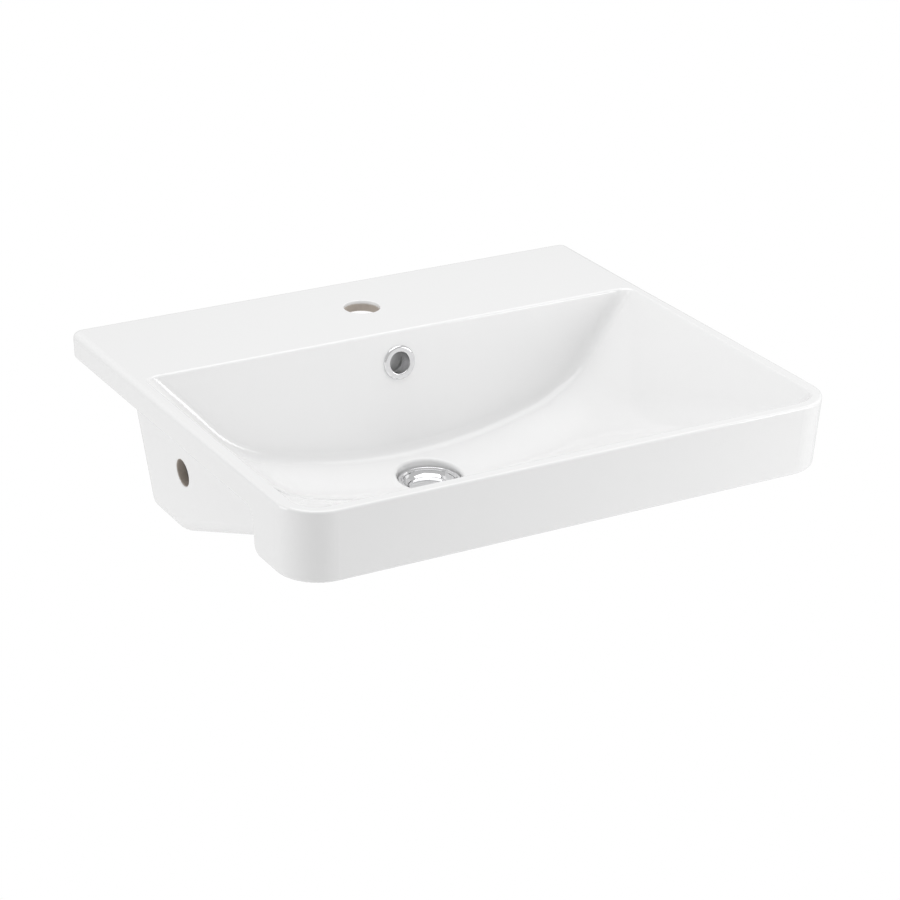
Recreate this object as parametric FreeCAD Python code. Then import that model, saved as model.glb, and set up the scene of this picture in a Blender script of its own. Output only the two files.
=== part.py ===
"""Semi recessed wash basin in glazed vitreous china, with its click waste and overflow ring.

Millimetres. X runs to the user's right as seen from the front, Y to the wall, Z up.
The dimensions below take y = 0 at the basin's rear edge, z = 0 at the worktop and x = 0 at the plane of symmetry.
The finished pieces are set back by SEAT_SETBACK, which brings the origin onto the strip that rests on the worktop.
"""
import FreeCAD, Part
import math
import os

# ---------------------------------------------------------------- china: outline
WIDTH = 550.0               # overall width
DEPTH = 470.0               # wall line to front face
RIM_Z = 27.0                # top of the rim above the worktop
APRON_DROP = 41.0           # front apron below the worktop
APRON_LENGTH = 85.0         # apron, front face back to its rear edge
REAR_CORNER = 10.0          # plan radius of the two rear corners
FRONT_CORNER = 39.0         # plan radius of the two front corners
APRON_TAPER_SIDE = 3.0      # how far the sides draw in at the foot of the apron
APRON_TAPER_FRONT = 3.6
APRON_HEEL = 11.0           # radii of the apron's rear edge, seen from the side
APRON_FOOT_ROUND = 3.8
RIM_ROUND_REAR = 7.0        # top edge, broad at the wall and crisp at the front
RIM_ROUND_FRONT = 2.4
WALL = 9.0                  # china thickness of the box and the bowl
DECK_THICKNESS = 11.0       # china under the tap
DECK_EDGE = 12.0            # down-turned edge round the deck's hollow underside
RIM_THICKNESS = 12.0        # china under the bowl's rim
SEAT_SETBACK = 8.0          # rear edge to the middle of the rear seat strip
LEAST_ROUND = 1.0           # inside rounds never get smaller than this

# ---------------------------------------------------------------- china: box below the worktop
BOX_SIDE_INSET = 10.0       # box side behind the deck's side edge
BOX_REAR_Y = -115.0         # rear face of the box at worktop level
BOX_REAR_LEAN = 14.2        # degrees from vertical
BOX_SIDE_DRAFT = 4.0        # degrees from vertical
BOX_BOTTOM_Z = -102.0
BOX_CORNER = 15.0           # rear corners and the bottom edges they run into
BOX_HEEL = 14.0             # rounding from the rear face into the bottom
BOX_INTO_DECK = 1.0         # the box's walls run this far into the deck
KEEL_START_Y = -206.0       # where the flat bottom starts to rise to the apron
KEEL_RISE = 21.9            # degrees
KEEL_SOFTEN = 40.0

# ---------------------------------------------------------------- china: bowl
BOWL_BACK_Y = -141.4        # bowl's straight back edge at the rim
BACK_WALL_LEAN = 9.5        # degrees from vertical
BOWL_HALF_WIDTH = 263.0     # flank edge at the rim
FRONT_RIM = 11.5            # flat rim at the front
FRONT_WALL_LEAN = 18.0
FLANK_SLOPE = 47.5          # degrees from horizontal
FLOOR_RADIUS = 520.0        # side-to-side crown of the floor at full depth
HAUNCH_RADIUS = 125.0       # floor into flank at full depth
FULL_DEPTH = 125.0
FLOOR_FLATTENING = 1.5      # the crown flattens as the bowl gets shallower
FLOOR_FALL = 8.0            # degrees, from the back wall to the drain
FLOOR_RAMP = 23.5           # degrees, from the drain up to the front
FLOOR_SAG_RADIUS = 90.0     # joins the fall and the ramp
SAG_AHEAD = 8.0             # lowest point in front of the drain's axis
BACK_BLEND = 12.0           # back wall into flanks and floor
FRONT_BLEND = 26.0          # front wall into flanks and ramp
BOWL_EDGE_ROUND = 3.0
TROUGH_PAST_BACK = 40.0     # the trough is lofted past the walls that end it
TROUGH_PAST_FRONT = 17.0
STATIONS = 16               # even stations keep the lofted floor true to its profile

# ---------------------------------------------------------------- china: holes
TAP_HOLE_R = 17.5
TAP_HOLE_Y = -71.0
TAP_LIP_ROUND = 1.4
SIDE_HOLE_R = 12.5
SIDE_HOLE_Y = -223.0
SIDE_HOLE_Z = -34.0
SIDE_LIP_ROUND = 1.5
SIDE_HOLE_REACH = 40.0      # from the deck's side edge, through the wall into the hollow
DRAIN_Y = -209.0
DRAIN_Z = -98.0             # floor of the bowl at the drain
DRAIN_HOLE_R = 23.0
DRAIN_BOSS_R = 38.0
DRAIN_BOSS_FLARE_R = 87.0   # where the flare starts, inside the casting
DRAIN_BOSS_FLARE_Z = -80.0
DRAIN_BOSS_NECK_Z = -122.0
DRAIN_BOSS_SWEEP = 26.0     # radius from flare to neck
DRAIN_BOSS_Z = -140.0       # unglazed seat under the basin
DRAIN_BOSS_ROUND = 2.0
DRAIN_BOSS_WALL = 4.0       # china left round the boss inside the hollow
DRAIN_RECESS_GAP = 1.5      # china lip round the waste flange
DRAIN_RECESS_ROUND = 1.0
DRAIN_SEAT_TAPER = 5.0      # height over which the gasket's seat narrows to the drain hole
DRAIN_LIP_ROUND = 3.0
OVERFLOW_Z = -3.7           # overflow hole on the back wall
OVERFLOW_HOLE_R = 13.0
CHANNEL_HALF_WIDTH = 15.0
CHANNEL_TOP_Z = 12.0
CHANNEL_OUTLET_TOP = 10.0   # channel's mouth in the drain hole, below the flange seat
CHANNEL_OUTLET_HEIGHT = 14.0
CHANNEL_OUTSIDE_ROUND = 7.0
CHANNEL_BEND = 12.0         # inner radius where the channel turns under the floor
CHANNEL_MOUTH_BEND = 8.0
CHANNEL_HEEL = 14.0         # cut across the outer corner of that turn
CHANNEL_INTO_DRAIN = 3.0    # the mouth opens this far inside the drain hole's wall

# ---------------------------------------------------------------- waste
FLANGE_R = 30.0
FLANGE_Z = -100.5           # top of the flange
FLANGE_EDGE = 1.8
FLANGE_FLAT = 2.6           # width of the flat rim
DISH_DEPTH = 7.0
THROAT_R = 20.4
THROAT_DEPTH = 4.0
DISH_BEND_R = 23.6          # where the dish turns from its slope to the throat
DISH_BEND_RISE = 1.9
DISH_BEND = 6.0
WASTE_ROUND = 0.8
LEDGE_ROUND = 0.4
SHOULDER_R = 25.5           # shoulder that centres the gasket under the flange
SHOULDER = 2.1
CONE_FOOT = 7.0             # the cone under the shoulder ends this far below the flange
NECK_R = 22.2
NECK_LENGTH = 10.5
THREAD_R = 20.95            # G 1 1/4 thread at the free end, for the trap's nut
TRAP_THREAD = 16.0
TUBE_R = 20.6               # thread crests are turned down above it, where only the back nut runs
TUBE_BORE_R = 17.8
WASTE_LENGTH = 72.0
SLOT_WIDTH = 16.0
SLOT_HEIGHT = 16.0
SLOT_CORNER = 3.0
GASKET_THICKNESS = 1.7
GASKET_INNER_R = 26.3
WEB_Z = -146.0              # underside of the web across the tube
WEB_HEIGHT = 5.0
WEB_HUB_R = 9.5
WEB_SPOKES = 4
WEB_SPOKE_WIDTH = 3.0
WEB_SPOKE_ROOT = 0.8        # each spoke runs this far into the tube's wall

# ---------------------------------------------------------------- fixings under the basin
WASHER_THICKNESS = 5.0
WASHER_R = 30.0
WASHER_ROUND = 1.0
WASHER_NOSE = 2.0           # nose that centres the washer in the drain hole
WASHER_NOSE_GAP = 0.2
WASHER_NOSE_TAPER = 0.7
SLIP_WASHER_THICKNESS = 1.5
SLIP_WASHER_R = 29.0
NUT_HEIGHT = 9.0
NUT_BODY_R = 25.0
NUT_LUG_R = 28.0
NUT_FLANGE_R = 29.5
NUT_FLANGE = 2.0
NUT_LUGS = 6
NUT_LUG_WIDTH = 7.0
NUT_LUG_ROOT = 2.0          # each lug runs this far into the nut's body
NUT_ROUND = 0.5
THREAD_CLEARANCE = 0.15

# ---------------------------------------------------------------- plug and click cartridge
TRAVEL = 8.0                # closed to open
PLUG_R = 19.5
PLUG_EDGE = 2.5
PLUG_EDGE_ROUND = 0.9
PLUG_CROWN = 2.2
PLUG_SINK = 6.5             # plug's edge below the flange top, closed
PLUG_HUB_R = 6.5
PLUG_HUB = 3.5
SEAL_OUTER_R = 19.2
SEAL_INNER_R = 15.0
SEAL_THICKNESS = 1.7
SEAT_GAP = 0.3
STEM_R = 3.0
STEM_GRIP = 4.0             # stem screwed into the plug
STEM_TIP_ROUND = 0.4
STEM_NECK_R = 2.2           # neck that carries the rotor
STEM_HEAD = 1.2             # snap head below the rotor
LOCKNUT_FLATS = 10.0
LOCKNUT_HEIGHT = 3.2
CARTRIDGE_R = 8.6
CARTRIDGE_BORE_R = 7.2
CARTRIDGE_TOP_Z = -119.5
CARTRIDGE_FLOOR = 2.0
STUD_R = 5.0
STUD_LENGTH = 12.0
STUD_TIP_ROUND = 0.6
GUIDE_HEAD = 1.5
GUIDE_HEAD_ROUND = 0.5
GUIDE_SLEEVE = 1.5
RUNNING_GAP = 0.06
INNER_GAP = 0.05
CAM_INNER_R = 5.0
ROTOR_HEIGHT = 3.0
ROTOR_R = 4.7
RIB_R = 6.2
RIB_ANGLE = 24.0
RIB_COUNT = 4
ROTOR_STEP = 45.0           # turn of the rotor in one stroke
RIB_CLEARANCE = 3.0         # degrees each side of a rib in its groove
GROOVE_CLEARANCE = 0.2      # beyond a rib's tip
SPRING_MEAN_R = 5.4
SPRING_WIRE_R = 0.45
SPRING_TURNS = 5
CARTRIDGE_NUT_FLATS = 17.0
CARTRIDGE_NUT_HEIGHT = 5.0

# ---------------------------------------------------------------- overflow ring
RING_R = 16.7
RING_PROUD = 2.4
RING_OUTER_ROUND = 2.2
RING_INNER_ROUND = 1.2
RING_BORE_R = 10.4
RING_TUBE_R = 11.7
RING_TUBE_PAST_WALL = 3.5
GRIP_GAP = 0.1
GRIP_R = 12.9
GRIP_BEAD = 0.9             # swells behind the wall to hold the ring
GRIP_BEAD_LENGTH = 2.0
GRIP_BEAD_ROUND = 0.6

V = FreeCAD.Vector
UP = V(0, 0, 1)
LID_Z = RIM_Z + 18.0        # cutting tools stand this far out of the rim
FOOT_Z = DRAIN_BOSS_Z - 3.0 # and this far below the boss
BACK_TAN = math.tan(math.radians(BACK_WALL_LEAN))
REAR_TAN = math.tan(math.radians(BOX_REAR_LEAN))
BOX_FRONT_Y = -DEPTH + 30   # the box ends inside the apron
DRAIN_AXIS = V(0, DRAIN_Y, 0)
SEAT_Z = FLANGE_Z - FLANGE_EDGE - GASKET_THICKNESS      # china seat under the flange's gasket
LEDGE_Z = FLANGE_Z - DISH_DEPTH - THROAT_DEPTH          # ledge under the plug's seal
TAIL_Z = FLANGE_Z - WASTE_LENGTH
PLUG_Z = FLANGE_Z - PLUG_SINK                           # plug's edge plane, closed
PLUG_UNDER_Z = PLUG_Z - PLUG_EDGE
HUB_Z = PLUG_UNDER_Z - PLUG_HUB
CAM_TOP_Z = CARTRIDGE_TOP_Z - GUIDE_SLEEVE
CAM_FOOT_Z = CAM_TOP_Z - TRAVEL
ROTOR_TOP_Z = CAM_FOOT_Z - SEAT_GAP
ROTOR_FOOT_Z = ROTOR_TOP_Z - ROTOR_HEIGHT
CARTRIDGE_FOOT_Z = WEB_Z + WEB_HEIGHT
WASHER_Z = DRAIN_BOSS_Z - WASHER_THICKNESS
SLIP_WASHER_Z = WASHER_Z - SLIP_WASHER_THICKNESS


# ---------------------------------------------------------------- helpers
def outline(corners, place):
    """Closed wire through corners (u, v, radius), rounded by tangent arcs; place puts it in space."""
    joints = []
    for i, (u, v, radius) in enumerate(corners):
        corner = V(u, v, 0)
        before = V(corners[i - 1][0], corners[i - 1][1], 0) - corner
        after = V(corners[(i + 1) % len(corners)][0], corners[(i + 1) % len(corners)][1], 0) - corner
        before.normalize()
        after.normalize()
        if radius <= 0:
            joints.append((corner, None, corner))
            continue
        half = before.getAngle(after) / 2
        inward = before + after
        inward.normalize()
        reach = radius / math.tan(half)
        middle = corner + inward * (radius / math.sin(half) - radius)
        joints.append((corner + before * reach, middle, corner + after * reach))
    edges = []
    for i, (start, middle, end) in enumerate(joints):
        following = joints[(i + 1) % len(joints)][0]
        if middle is not None:
            arc = Part.Arc(place(start.x, start.y), place(middle.x, middle.y), place(end.x, end.y))
            edges.append(arc.toShape())
        if (following - end).Length > 1e-6:
            edges.append(Part.LineSegment(place(end.x, end.y), place(following.x, following.y)).toShape())
    return Part.Wire(edges)


def plan(z):
    """Places an outline's (x, y) at height z."""
    return lambda u, v: V(u, v, z)


def side_prism(corners, half_width):
    """Extrudes a side profile of (y, z, radius) corners across the basin."""
    wire = outline(corners, lambda u, v: V(-half_width, u, v))
    return Part.Face(wire).extrude(V(2 * half_width, 0, 0))


def revolved(corners, origin=DRAIN_AXIS, axis=UP):
    """Turns a profile of (radius, height, corner radius) about the axis through origin."""
    across = V(1, 0, 0)
    wire = outline(corners, lambda u, v: origin + across * u + axis * v)
    return Part.Face(wire).revolve(origin, axis, 360)


def tube(outer_r, inner_r, low, high):
    """A plain ring about the drain's axis."""
    ring = Part.makeCylinder(outer_r, high - low, DRAIN_AXIS + UP * low)
    return ring.cut(Part.makeCylinder(inner_r, high - low, DRAIN_AXIS + UP * low))


def hexagon(flats, low, high):
    """Hexagonal bar about the drain's axis."""
    corner = flats / math.sqrt(3)
    points = [(corner * math.cos(math.radians(60 * k)), DRAIN_Y + corner * math.sin(math.radians(60 * k)), 0)
              for k in range(6)]
    return Part.Face(outline(points, plan(low))).extrude(UP * (high - low))


def edges_where(shape, test):
    """Edges whose start, middle and end all pass the test."""
    found = []
    for edge in shape.Edges:
        first, last = edge.FirstParameter, edge.LastParameter
        points = [edge.valueAt(first + (last - first) * share) for share in (0.0, 0.3, 0.5, 0.7, 1.0)]
        if all(test(point) for point in points):
            found.append(edge)
    return found


# ---------------------------------------------------------------- china: bowl
def floor_z(y):
    """Height of the bowl's lowest line: a fall to the drain, a sag arc, then the ramp to the front."""
    lowest_y = DRAIN_Y - SAG_AHEAD
    fall, ramp = math.radians(FLOOR_FALL), math.radians(FLOOR_RAMP)
    fall_end = lowest_y + FLOOR_SAG_RADIUS * math.sin(fall)
    ramp_end = lowest_y - FLOOR_SAG_RADIUS * math.sin(ramp)
    if y > fall_end:
        return DRAIN_Z + FLOOR_SAG_RADIUS * (1 - math.cos(fall)) + (y - fall_end) * math.tan(fall)
    if y < ramp_end:
        return DRAIN_Z + FLOOR_SAG_RADIUS * (1 - math.cos(ramp)) + (ramp_end - y) * math.tan(ramp)
    return DRAIN_Z + FLOOR_SAG_RADIUS - math.sqrt(FLOOR_SAG_RADIUS ** 2 - (y - lowest_y) ** 2)


def bowl_section(y, grow):
    """Side-to-side section of the bowl at y: flank, haunch arc, crowned floor, haunch arc, flank."""
    depth = RIM_Z - floor_z(y)
    floor_r = FLOOR_RADIUS * (FULL_DEPTH / depth) ** FLOOR_FLATTENING + grow
    haunch_r = HAUNCH_RADIUS * depth / FULL_DEPTH + grow
    bottom_z = floor_z(y) - grow
    slope = math.radians(FLANK_SLOPE)
    down_x, down_z = -math.cos(slope), -math.sin(slope)
    out_x, out_z = math.sin(slope), -math.cos(slope)
    edge_x, edge_z = BOWL_HALF_WIDTH + out_x * grow, RIM_Z + out_z * grow
    # the haunch's centre lies haunch_r inside the flank and floor_r - haunch_r from the floor's centre
    from_x = edge_x - out_x * haunch_r
    from_z = edge_z - out_z * haunch_r - (bottom_z + floor_r)
    along = from_x * down_x + from_z * down_z
    short = from_x ** 2 + from_z ** 2 - (floor_r - haunch_r) ** 2
    step = -along + math.sqrt(along ** 2 - short)
    centre_x, centre_z = from_x + step * down_x, from_z + step * down_z
    flank_end = (centre_x + out_x * haunch_r, centre_z + bottom_z + floor_r + out_z * haunch_r)
    stretch = floor_r / math.hypot(centre_x, centre_z)
    floor_end = (centre_x * stretch, bottom_z + floor_r + centre_z * stretch)
    middle = (math.atan2(out_z, out_x) + math.atan2(centre_z, centre_x)) / 2
    haunch_mid = (centre_x + haunch_r * math.cos(middle),
                  centre_z + bottom_z + floor_r + haunch_r * math.sin(middle))
    top_x = edge_x + (LID_Z - edge_z) * math.cos(slope) / math.sin(slope)

    def at(point, side):
        return V(side * point[0], y, point[1])

    return Part.Wire([
        Part.LineSegment(at((top_x, LID_Z), 1), at(flank_end, 1)).toShape(),
        Part.Arc(at(flank_end, 1), at(haunch_mid, 1), at(floor_end, 1)).toShape(),
        Part.Arc(at(floor_end, 1), V(0, y, bottom_z), at(floor_end, -1)).toShape(),
        Part.Arc(at(floor_end, -1), at(haunch_mid, -1), at(flank_end, -1)).toShape(),
        Part.LineSegment(at(flank_end, -1), at((top_x, LID_Z), -1)).toShape(),
        Part.LineSegment(at((top_x, LID_Z), -1), at((top_x, LID_Z), 1)).toShape()])


def back_wall_y(z):
    """The bowl's back wall at height z."""
    return BOWL_BACK_Y - (RIM_Z - z) * BACK_TAN


def bowl_void(grow=0.0):
    """The bowl's hollow as a solid, grown by a wall thickness to give the bowl's outside."""
    front_tan = math.tan(math.radians(FRONT_WALL_LEAN))
    front_y = -DEPTH + FRONT_RIM
    back_grow = grow / math.cos(math.radians(BACK_WALL_LEAN))
    front_grow = grow / math.cos(math.radians(FRONT_WALL_LEAN))
    rear_end, front_end = BOWL_BACK_Y + TROUGH_PAST_BACK, front_y - TROUGH_PAST_FRONT
    stations = [rear_end + (front_end - rear_end) * k / (STATIONS - 1) for k in range(STATIONS)]
    trough = Part.makeLoft([bowl_section(y, grow) for y in stations], True, False)
    high_z = LID_Z + WALL
    between = side_prism([
        (back_wall_y(high_z) + back_grow, high_z, 0),
        (back_wall_y(FOOT_Z) + back_grow, FOOT_Z, 0),
        (front_y - front_grow + (RIM_Z - FOOT_Z) * front_tan, FOOT_Z, 0),
        (front_y - front_grow - (high_z - RIM_Z) * front_tan, high_z, 0)], WIDTH)
    void = trough.common(between).Solids[0]
    if grow > 0:
        return void

    def on_back(point):
        return abs(point.y - back_wall_y(point.z)) < 0.02

    def on_front(point):
        return abs(point.y - (front_y + (RIM_Z - point.z) * front_tan)) < 0.02

    for on_wall, radius in ((on_front, FRONT_BLEND), (on_back, BACK_BLEND)):
        edges = [edge for edge in edges_where(void, on_wall) if edge.BoundBox.ZLength > 0.5]
        void = void.makeFillet(radius, edges)
    return void


# ---------------------------------------------------------------- china: outside
def tapered_block(top, foot):
    """Block between two level rectangles, each (half width, rear y, front y, z)."""
    corners = []
    for half, rear_y, front_y, z in (top, foot):
        corners.append([V(-half, rear_y, z), V(half, rear_y, z), V(half, front_y, z), V(-half, front_y, z)])
    faces = [Part.Face(Part.makePolygon(level + level[:1])) for level in (corners[0][::-1], corners[1])]
    for k in range(4):
        following = (k + 1) % 4
        side = [corners[0][k], corners[0][following], corners[1][following], corners[1][k], corners[0][k]]
        faces.append(Part.Face(Part.makePolygon(side)))
    return Part.Solid(Part.Shell(faces))


def upright_edges(solid, test):
    """The four slanted corner edges of a tapered block that pass the test."""
    return [edge for edge in edges_where(solid, test) if edge.BoundBox.ZLength > 20]


def skirt(inset=0.0):
    """Deck slab and front apron in one: a tapered, rounded block cut to its side profile."""
    half = WIDTH / 2 - inset
    block = tapered_block((half, -inset, -DEPTH + inset, RIM_Z),
                          (half - APRON_TAPER_SIDE, -inset, -DEPTH + APRON_TAPER_FRONT + inset, -APRON_DROP))
    middle_y = -DEPTH / 2
    block = block.makeFillet(FRONT_CORNER - inset, upright_edges(block, lambda p: p.y < middle_y))
    rear_round = max(REAR_CORNER - inset, LEAST_ROUND)
    block = block.makeFillet(rear_round, upright_edges(block, lambda p: p.y > middle_y))
    heel_y = -DEPTH + APRON_LENGTH - inset
    heel_round = max(APRON_HEEL - inset, LEAST_ROUND)
    profile = side_prism([
        (WALL, LID_Z, 0), (WALL, inset, 0), (heel_y, inset, heel_round),
        (heel_y, -APRON_DROP + inset, heel_round),
        (-DEPTH - WALL, -APRON_DROP + inset, 0), (-DEPTH - WALL, LID_Z, 0)], WIDTH)
    return block.common(profile).Solids[0]


def box(inset=0.0):
    """The boxed body under the worktop: leaning rear, drafted sides, flat bottom that rises to the apron."""
    top_z = RIM_Z - DECK_THICKNESS + BOX_INTO_DECK
    draft = math.tan(math.radians(BOX_SIDE_DRAFT))
    half = WIDTH / 2 - BOX_SIDE_INSET - inset
    block = tapered_block((half + top_z * draft, 0, BOX_FRONT_Y, top_z),
                          (half + FOOT_Z * draft, 0, BOX_FRONT_Y, FOOT_Z))
    bottom = BOX_BOTTOM_Z + inset
    rear_y = BOX_REAR_Y - inset / math.cos(math.radians(BOX_REAR_LEAN))
    keel = math.tan(math.radians(KEEL_RISE))
    keel_y = KEEL_START_Y + inset * math.tan(math.radians(KEEL_RISE / 2))
    profile = side_prism([
        (rear_y + top_z * REAR_TAN, top_z, 0),
        (rear_y + bottom * REAR_TAN, bottom, max(BOX_HEEL - inset, LEAST_ROUND)),
        (keel_y, bottom, KEEL_SOFTEN),
        (BOX_FRONT_Y, bottom + (keel_y - BOX_FRONT_Y) * keel, 0),
        (BOX_FRONT_Y, top_z, 0)], WIDTH)
    return block.common(profile).Solids[0]


def rounded_box():
    """The box with its rear corners rounded; the rounding runs on under the box along its bottom edges."""
    solid = box()

    def on_rear(point):
        return abs(point.y - (BOX_REAR_Y + point.z * REAR_TAN)) < 0.05

    return solid.makeFillet(BOX_CORNER, upright_edges(solid, on_rear))


def fillet_laws(shape, laws):
    """Fillets edges that each have their own start and end radius: laws lists (edge, first, last)."""
    document = FreeCAD.newDocument("fillet")
    base = document.addObject("Part::Feature", "base")
    base.Shape = shape
    feature = document.addObject("Part::Fillet", "rounded")
    feature.Base = base
    numbers = []
    for edge, first, last in laws:
        for number, candidate in enumerate(shape.Edges, 1):
            if candidate.isSame(edge):
                numbers.append((number, first, last))
    feature.Edges = numbers
    document.recompute()
    result = feature.Shape.Solids[0].copy()
    FreeCAD.closeDocument(document.Name)
    return result


def rounded_skirt():
    """The skirt with its top edge rounded broadly at the wall and crisply at the front."""
    solid = skirt()
    half = WIDTH / 2

    def on_top(point):
        return abs(point.z - RIM_Z) < 0.01

    laws = []
    for edge in edges_where(solid, on_top):
        middle = edge.valueAt((edge.FirstParameter + edge.LastParameter) / 2)
        if abs(middle.x) > half - 1 and edge.BoundBox.YLength > DEPTH / 2:
            rear_first = edge.valueAt(edge.FirstParameter).y > middle.y
            radii = (RIM_ROUND_REAR, RIM_ROUND_FRONT) if rear_first else (RIM_ROUND_FRONT, RIM_ROUND_REAR)
            laws.append((edge,) + radii)
        elif middle.y < -DEPTH / 2:
            laws.append((edge, RIM_ROUND_FRONT, RIM_ROUND_FRONT))
        else:
            laws.append((edge, RIM_ROUND_REAR, RIM_ROUND_REAR))
    solid = fillet_laws(solid, laws)

    def on_foot(point):
        return abs(point.z + APRON_DROP) < 0.01 and point.y < -DEPTH + APRON_LENGTH + 1

    foot = [edge for edge in edges_where(solid, on_foot)
            if not (edge.BoundBox.YLength < 0.5 and edge.BoundBox.YMax > -DEPTH + 20)]
    return solid.makeFillet(APRON_FOOT_ROUND, foot)


def drain_boss():
    """Flared boss round the drain, with the unglazed seat for the washer on its underside."""
    return revolved([
        (0, DRAIN_BOSS_FLARE_Z, 0), (DRAIN_BOSS_FLARE_R, DRAIN_BOSS_FLARE_Z, 0),
        (DRAIN_BOSS_R, DRAIN_BOSS_NECK_Z, DRAIN_BOSS_SWEEP), (DRAIN_BOSS_R, DRAIN_BOSS_Z, DRAIN_BOSS_ROUND),
        (0, DRAIN_BOSS_Z, 0)])


def channel_profile(grow):
    """Side profile of the overflow channel: down behind the back wall, then under the floor to the drain."""
    def rear_y(z):
        return BOX_REAR_Y + z * REAR_TAN - (WALL - grow) / math.cos(math.radians(BOX_REAR_LEAN))

    def front_y(z):
        return back_wall_y(z) + (WALL - grow) / math.cos(math.radians(BACK_WALL_LEAN))

    mouth_top = SEAT_Z - CHANNEL_OUTLET_TOP + grow
    mouth_foot = mouth_top - CHANNEL_OUTLET_HEIGHT - 2 * grow
    mouth_y = DRAIN_Y + DRAIN_HOLE_R - CHANNEL_INTO_DRAIN
    turn_z = DRAIN_Z + WALL
    top_z = CHANNEL_TOP_Z
    return [(rear_y(top_z), top_z, 0), (front_y(top_z), top_z, 0), (front_y(turn_z), turn_z, CHANNEL_BEND),
            (front_y(turn_z) - CHANNEL_BEND - grow, mouth_top, CHANNEL_MOUTH_BEND),
            (mouth_y, mouth_top, 0), (mouth_y, mouth_foot, 0),
            (rear_y(turn_z) - CHANNEL_HEEL, mouth_foot, CHANNEL_BEND + grow),
            (rear_y(mouth_top), mouth_top, CHANNEL_HEEL + grow)]


def overflow_frame():
    """Centre of the overflow hole on the bowl's back wall, and its axis towards the bowl."""
    lean = math.radians(BACK_WALL_LEAN)
    return V(0, back_wall_y(OVERFLOW_Z), OVERFLOW_Z), V(0, -math.cos(lean), math.sin(lean))


def hollow():
    """Space between the bowl and the outer walls, which the side holes open into."""
    apron_rear_y = -DEPTH + APRON_LENGTH + 2 * WALL
    apron = skirt(WALL).common(Part.makeBox(2 * WIDTH, apron_rear_y + DEPTH, RIM_Z - FOOT_Z,
                                            V(-WIDTH, -DEPTH, FOOT_Z)))
    space = box(WALL).fuse(apron).cut(bowl_void(WALL))
    half = CHANNEL_HALF_WIDTH + WALL
    channel_walls = Part.makeBox(2 * half, -DRAIN_Y, RIM_Z - FOOT_Z, V(-half, DRAIN_Y, FOOT_Z))
    boss = Part.makeCylinder(DRAIN_BOSS_R + DRAIN_BOSS_WALL, -FOOT_Z, V(0, DRAIN_Y, FOOT_Z))
    rim = Part.makeBox(2 * WIDTH, DEPTH, RIM_Z, V(-WIDTH, -DEPTH, RIM_Z - RIM_THICKNESS))
    return space.cut([channel_walls, boss, rim])


def drain_tool():
    """Cuts the recess round the flange, the gasket's seat and the drain hole."""
    recess_r = FLANGE_R + DRAIN_RECESS_GAP
    return revolved([
        (0, LID_Z, 0), (recess_r, LID_Z, 0), (recess_r, SEAT_Z, DRAIN_RECESS_ROUND), (GASKET_INNER_R, SEAT_Z, 0),
        (DRAIN_HOLE_R, SEAT_Z - DRAIN_SEAT_TAPER, 0), (DRAIN_HOLE_R, FOOT_Z, 0), (0, FOOT_Z, 0)])


def side_holes():
    """Cuts a hole through each side wall of the box, into the hollow."""
    return [Part.makeCylinder(SIDE_HOLE_R, SIDE_HOLE_REACH, V(side * WIDTH / 2, SIDE_HOLE_Y, SIDE_HOLE_Z),
                              V(-side, 0, 0)) for side in (-1, 1)]


def deck_pocket():
    """Hollow underside of the tap deck, inside its down-turned edge; the box fills its front."""
    front_y = BOX_REAR_Y - WALL
    half = WIDTH / 2 - DECK_EDGE
    return Part.makeBox(2 * half, -front_y - DECK_EDGE, RIM_Z, V(-half, front_y, -DECK_THICKNESS))


def channel_bulge():
    """Outside of the overflow channel where it stands out of the box, with its long edges rounded."""
    half = CHANNEL_HALF_WIDTH + WALL
    bulge = side_prism(channel_profile(WALL), half)

    def on_side(point):
        return abs(abs(point.x) - half) < 0.01 and point.z < BOX_BOTTOM_Z - 2

    return bulge.makeFillet(CHANNEL_OUTSIDE_ROUND, edges_where(bulge, on_side))


def rim_edges(body):
    """The bowl's edge all round at the rim."""
    def on_rim(point):
        inside = abs(point.x) < BOWL_HALF_WIDTH + 1 and -DEPTH + FRONT_RIM - 1 < point.y < BOWL_BACK_Y + 1
        return abs(point.z - RIM_Z) < 0.01 and inside

    return edges_where(body, on_rim)


def softened_holes(body):
    """Rounds the mouths of the tap hole, the side holes and the drain's recess, as glaze leaves them."""
    def on_tap_lip(point):
        return abs(math.hypot(point.x, point.y - TAP_HOLE_Y) - TAP_HOLE_R) < 0.02 and point.z > RIM_Z - 0.1

    def on_side_lip(point):
        reach = math.hypot(point.y - SIDE_HOLE_Y, point.z - SIDE_HOLE_Z)
        return abs(reach - SIDE_HOLE_R) < 0.02 and abs(point.x) > WIDTH / 2 - BOX_SIDE_INSET - WALL / 2

    def on_drain_lip(point):
        reach = math.hypot(point.x, point.y - DRAIN_Y)
        return abs(reach - FLANGE_R - DRAIN_RECESS_GAP) < 0.02 and point.z > SEAT_Z + 1.5

    for on_lip, radius in ((on_tap_lip, TAP_LIP_ROUND), (on_side_lip, SIDE_LIP_ROUND),
                           (on_drain_lip, DRAIN_LIP_ROUND)):
        body = body.makeFillet(radius, edges_where(body, on_lip)).Solids[0]
    return body


def belly():
    """Outside of the bowl below the rim, kept inside the apron's rounded front corners."""
    inset = WALL / 2
    half, front_y, corner = WIDTH / 2 - inset, -DEPTH + inset, FRONT_CORNER - inset
    edge = outline([(-half, 0, 0), (half, 0, 0), (half, front_y, corner), (-half, front_y, corner)], plan(FOOT_Z))
    inside = Part.Face(edge).extrude(UP * (RIM_Z - RIM_THICKNESS - FOOT_Z))
    return bowl_void(WALL).common(inside)


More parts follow.
